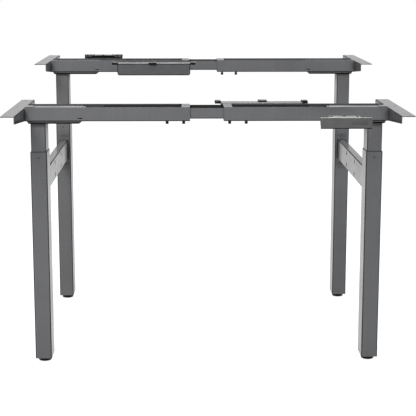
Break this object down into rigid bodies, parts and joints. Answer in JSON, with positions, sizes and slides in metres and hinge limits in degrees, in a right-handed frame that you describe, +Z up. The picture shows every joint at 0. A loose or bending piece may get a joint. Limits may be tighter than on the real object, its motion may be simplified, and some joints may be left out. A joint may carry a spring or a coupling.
{
  "type": "standing desk frame",
  "caption": "Face-to-face sit-stand desk frame: two rows of telescoping columns under channel beams, joined by side beams, with desktop brackets, keypads and control boxes.",
  "frame": {"origin": "on the floor, in the middle between the four columns", "axes": "+Z up, +X to the right of the front user, +Y from the front user to the rear user"},
  "size_m": [1.165, 1.386, 0.8815],
  "materials": {
    "frame_paint": "satin",
    "black_plastic": "matte",
    "casing_plastic": "satin",
    "key_plastic": "satin",
    "black_screws": "satin",
    "zinc_steel": "satin",
    "bright_steel": "bright",
    "motor_steel": "satin"
  },
  "bodies": {
    "left_base": {"front_left_outer_tube": "frame_paint", "rear_left_outer_tube": "frame_paint", "left_side_beam": "frame_paint", "left_beam_bolts": "frame_paint", "left_glide_sleeves": "black_plastic", "left_nut_tubes": "zinc_steel"},
    "right_base": {"front_right_outer_tube": "frame_paint", "rear_right_outer_tube": "frame_paint", "right_side_beam": "frame_paint", "right_beam_bolts": "frame_paint", "right_glide_sleeves": "black_plastic", "right_nut_tubes": "zinc_steel"},
    "front_left_lift": {"front_left_inner_tube": "frame_paint", "front_left_gearmotor": "motor_steel", "front_left_motor_tray": "frame_paint", "front_left_motor_cover": "frame_paint", "front_left_beam": "frame_paint", "front_left_bracket": "frame_paint", "front_left_screws": "black_screws"},
    "front_right_lift": {"front_right_inner_tube": "frame_paint", "front_right_gearmotor": "motor_steel", "front_right_motor_tray": "frame_paint", "front_right_motor_cover": "frame_paint", "front_right_beam": "frame_paint", "front_right_bracket": "frame_paint", "front_right_screws": "black_screws", "front_control_box": "casing_plastic", "front_keypad": "casing_plastic"},
    "rear_left_lift": {"rear_left_inner_tube": "frame_paint", "rear_left_gearmotor": "motor_steel", "rear_left_motor_tray": "frame_paint", "rear_left_motor_cover": "frame_paint", "rear_left_beam": "frame_paint", "rear_left_bracket": "frame_paint", "rear_left_screws": "black_screws", "rear_control_box": "casing_plastic", "rear_keypad": "casing_plastic"},
    "rear_right_lift": {"rear_right_inner_tube": "frame_paint", "rear_right_gearmotor": "motor_steel", "rear_right_motor_tray": "frame_paint", "rear_right_motor_cover": "frame_paint", "rear_right_beam": "frame_paint", "rear_right_bracket": "frame_paint", "rear_right_screws": "black_screws"},
    "front_bar": {"front_centre_bar": "frame_paint"},
    "rear_bar": {"rear_centre_bar": "frame_paint"},
    "front_left_foot": {"front_left_foot": "black_plastic"},
    "front_left_spindle": {"front_left_spindle": "bright_steel"},
    "front_right_foot": {"front_right_foot": "black_plastic"},
    "front_right_spindle": {"front_right_spindle": "bright_steel"},
    "rear_left_foot": {"rear_left_foot": "black_plastic"},
    "rear_left_spindle": {"rear_left_spindle": "bright_steel"},
    "rear_right_foot": {"rear_right_foot": "black_plastic"},
    "rear_right_spindle": {"rear_right_spindle": "bright_steel"},
    "front_up_key": {"front_up_key": "key_plastic"},
    "front_down_key": {"front_down_key": "key_plastic"},
    "front_memory_key": {"front_memory_key": "key_plastic"},
    "rear_up_key": {"rear_up_key": "key_plastic"},
    "rear_down_key": {"rear_down_key": "key_plastic"},
    "rear_memory_key": {"rear_memory_key": "key_plastic"}
  },
  "joints": [
    {"name": "width", "type": "slide", "parent": "left_base", "child": "right_base", "axis": [1, 0, 0], "range_m": [-0.1, 0.36]},
    {"name": "front_left_lift", "type": "slide", "parent": "left_base", "child": "front_left_lift", "axis": [0, 0, 1], "range_m": [-0.08, 0.41]},
    {"name": "front_right_lift", "type": "slide", "parent": "right_base", "child": "front_right_lift", "axis": [0, 0, 1], "range_m": [-0.08, 0.41]},
    {"name": "front_bar_slide", "type": "slide", "parent": "front_left_lift", "child": "front_bar", "axis": [1, 0, 0], "range_m": [-0.05, 0.18]},
    {"name": "rear_left_lift", "type": "slide", "parent": "left_base", "child": "rear_left_lift", "axis": [0, 0, 1], "range_m": [-0.167, 0.323]},
    {"name": "rear_right_lift", "type": "slide", "parent": "right_base", "child": "rear_right_lift", "axis": [0, 0, 1], "range_m": [-0.167, 0.323]},
    {"name": "rear_bar_slide", "type": "slide", "parent": "rear_left_lift", "child": "rear_bar", "axis": [1, 0, 0], "range_m": [-0.05, 0.18]},
    {"name": "front_left_spindle_turn", "type": "hinge", "parent": "front_left_lift", "child": "front_left_spindle", "pos_m": [-0.5045, -0.379, 0.745], "axis": [0, 0, 1], "continuous": true},
    {"name": "front_left_foot_screw", "type": "slide", "parent": "left_base", "child": "front_left_foot", "axis": [0, 0, -1], "range_m": [0, 0.012]},
    {"name": "front_right_spindle_turn", "type": "hinge", "parent": "front_right_lift", "child": "front_right_spindle", "pos_m": [0.5045, -0.379, 0.745], "axis": [0, 0, 1], "continuous": true},
    {"name": "front_right_foot_screw", "type": "slide", "parent": "right_base", "child": "front_right_foot", "axis": [0, 0, -1], "range_m": [0, 0.012]},
    {"name": "rear_left_spindle_turn", "type": "hinge", "parent": "rear_left_lift", "child": "rear_left_spindle", "pos_m": [-0.5045, 0.379, 0.832], "axis": [0, 0, 1], "continuous": true},
    {"name": "rear_left_foot_screw", "type": "slide", "parent": "left_base", "child": "rear_left_foot", "axis": [0, 0, -1], "range_m": [0, 0.012]},
    {"name": "rear_right_spindle_turn", "type": "hinge", "parent": "rear_right_lift", "child": "rear_right_spindle", "pos_m": [0.5045, 0.379, 0.832], "axis": [0, 0, 1], "continuous": true},
    {"name": "rear_right_foot_screw", "type": "slide", "parent": "right_base", "child": "rear_right_foot", "axis": [0, 0, -1], "range_m": [0, 0.012]},
    {"name": "front_up_key_press", "type": "slide", "parent": "front_right_lift", "child": "front_up_key", "axis": [0, 1, 0], "range_m": [0, 0.0008], "stiffness_N_per_m": 2000},
    {"name": "front_down_key_press", "type": "slide", "parent": "front_right_lift", "child": "front_down_key", "axis": [0, 1, 0], "range_m": [0, 0.0008], "stiffness_N_per_m": 2000},
    {"name": "front_memory_key_press", "type": "slide", "parent": "front_right_lift", "child": "front_memory_key", "axis": [0, 1, 0], "range_m": [0, 0.0008], "stiffness_N_per_m": 2000},
    {"name": "rear_up_key_press", "type": "slide", "parent": "rear_left_lift", "child": "rear_up_key", "axis": [0, -1, 0], "range_m": [0, 0.0008], "stiffness_N_per_m": 2000},
    {"name": "rear_down_key_press", "type": "slide", "parent": "rear_left_lift", "child": "rear_down_key", "axis": [0, -1, 0], "range_m": [0, 0.0008], "stiffness_N_per_m": 2000},
    {"name": "rear_memory_key_press", "type": "slide", "parent": "rear_left_lift", "child": "rear_memory_key", "axis": [0, -1, 0], "range_m": [0, 0.0008], "stiffness_N_per_m": 2000}
  ],
  "couplings": [
    {"joint": "front_right_lift", "follows": "front_left_lift", "ratio": 1},
    {"joint": "front_bar_slide", "follows": "width", "ratio": 0.5},
    {"joint": "rear_right_lift", "follows": "rear_left_lift", "ratio": 1},
    {"joint": "rear_bar_slide", "follows": "width", "ratio": 0.5},
    {"joint": "front_left_spindle_turn", "follows": "front_left_lift", "rad_per_m": 392.7},
    {"joint": "front_right_spindle_turn", "follows": "front_left_lift", "rad_per_m": 392.7},
    {"joint": "rear_left_spindle_turn", "follows": "rear_left_lift", "rad_per_m": 392.7},
    {"joint": "rear_right_spindle_turn", "follows": "rear_left_lift", "rad_per_m": 392.7}
  ]
}
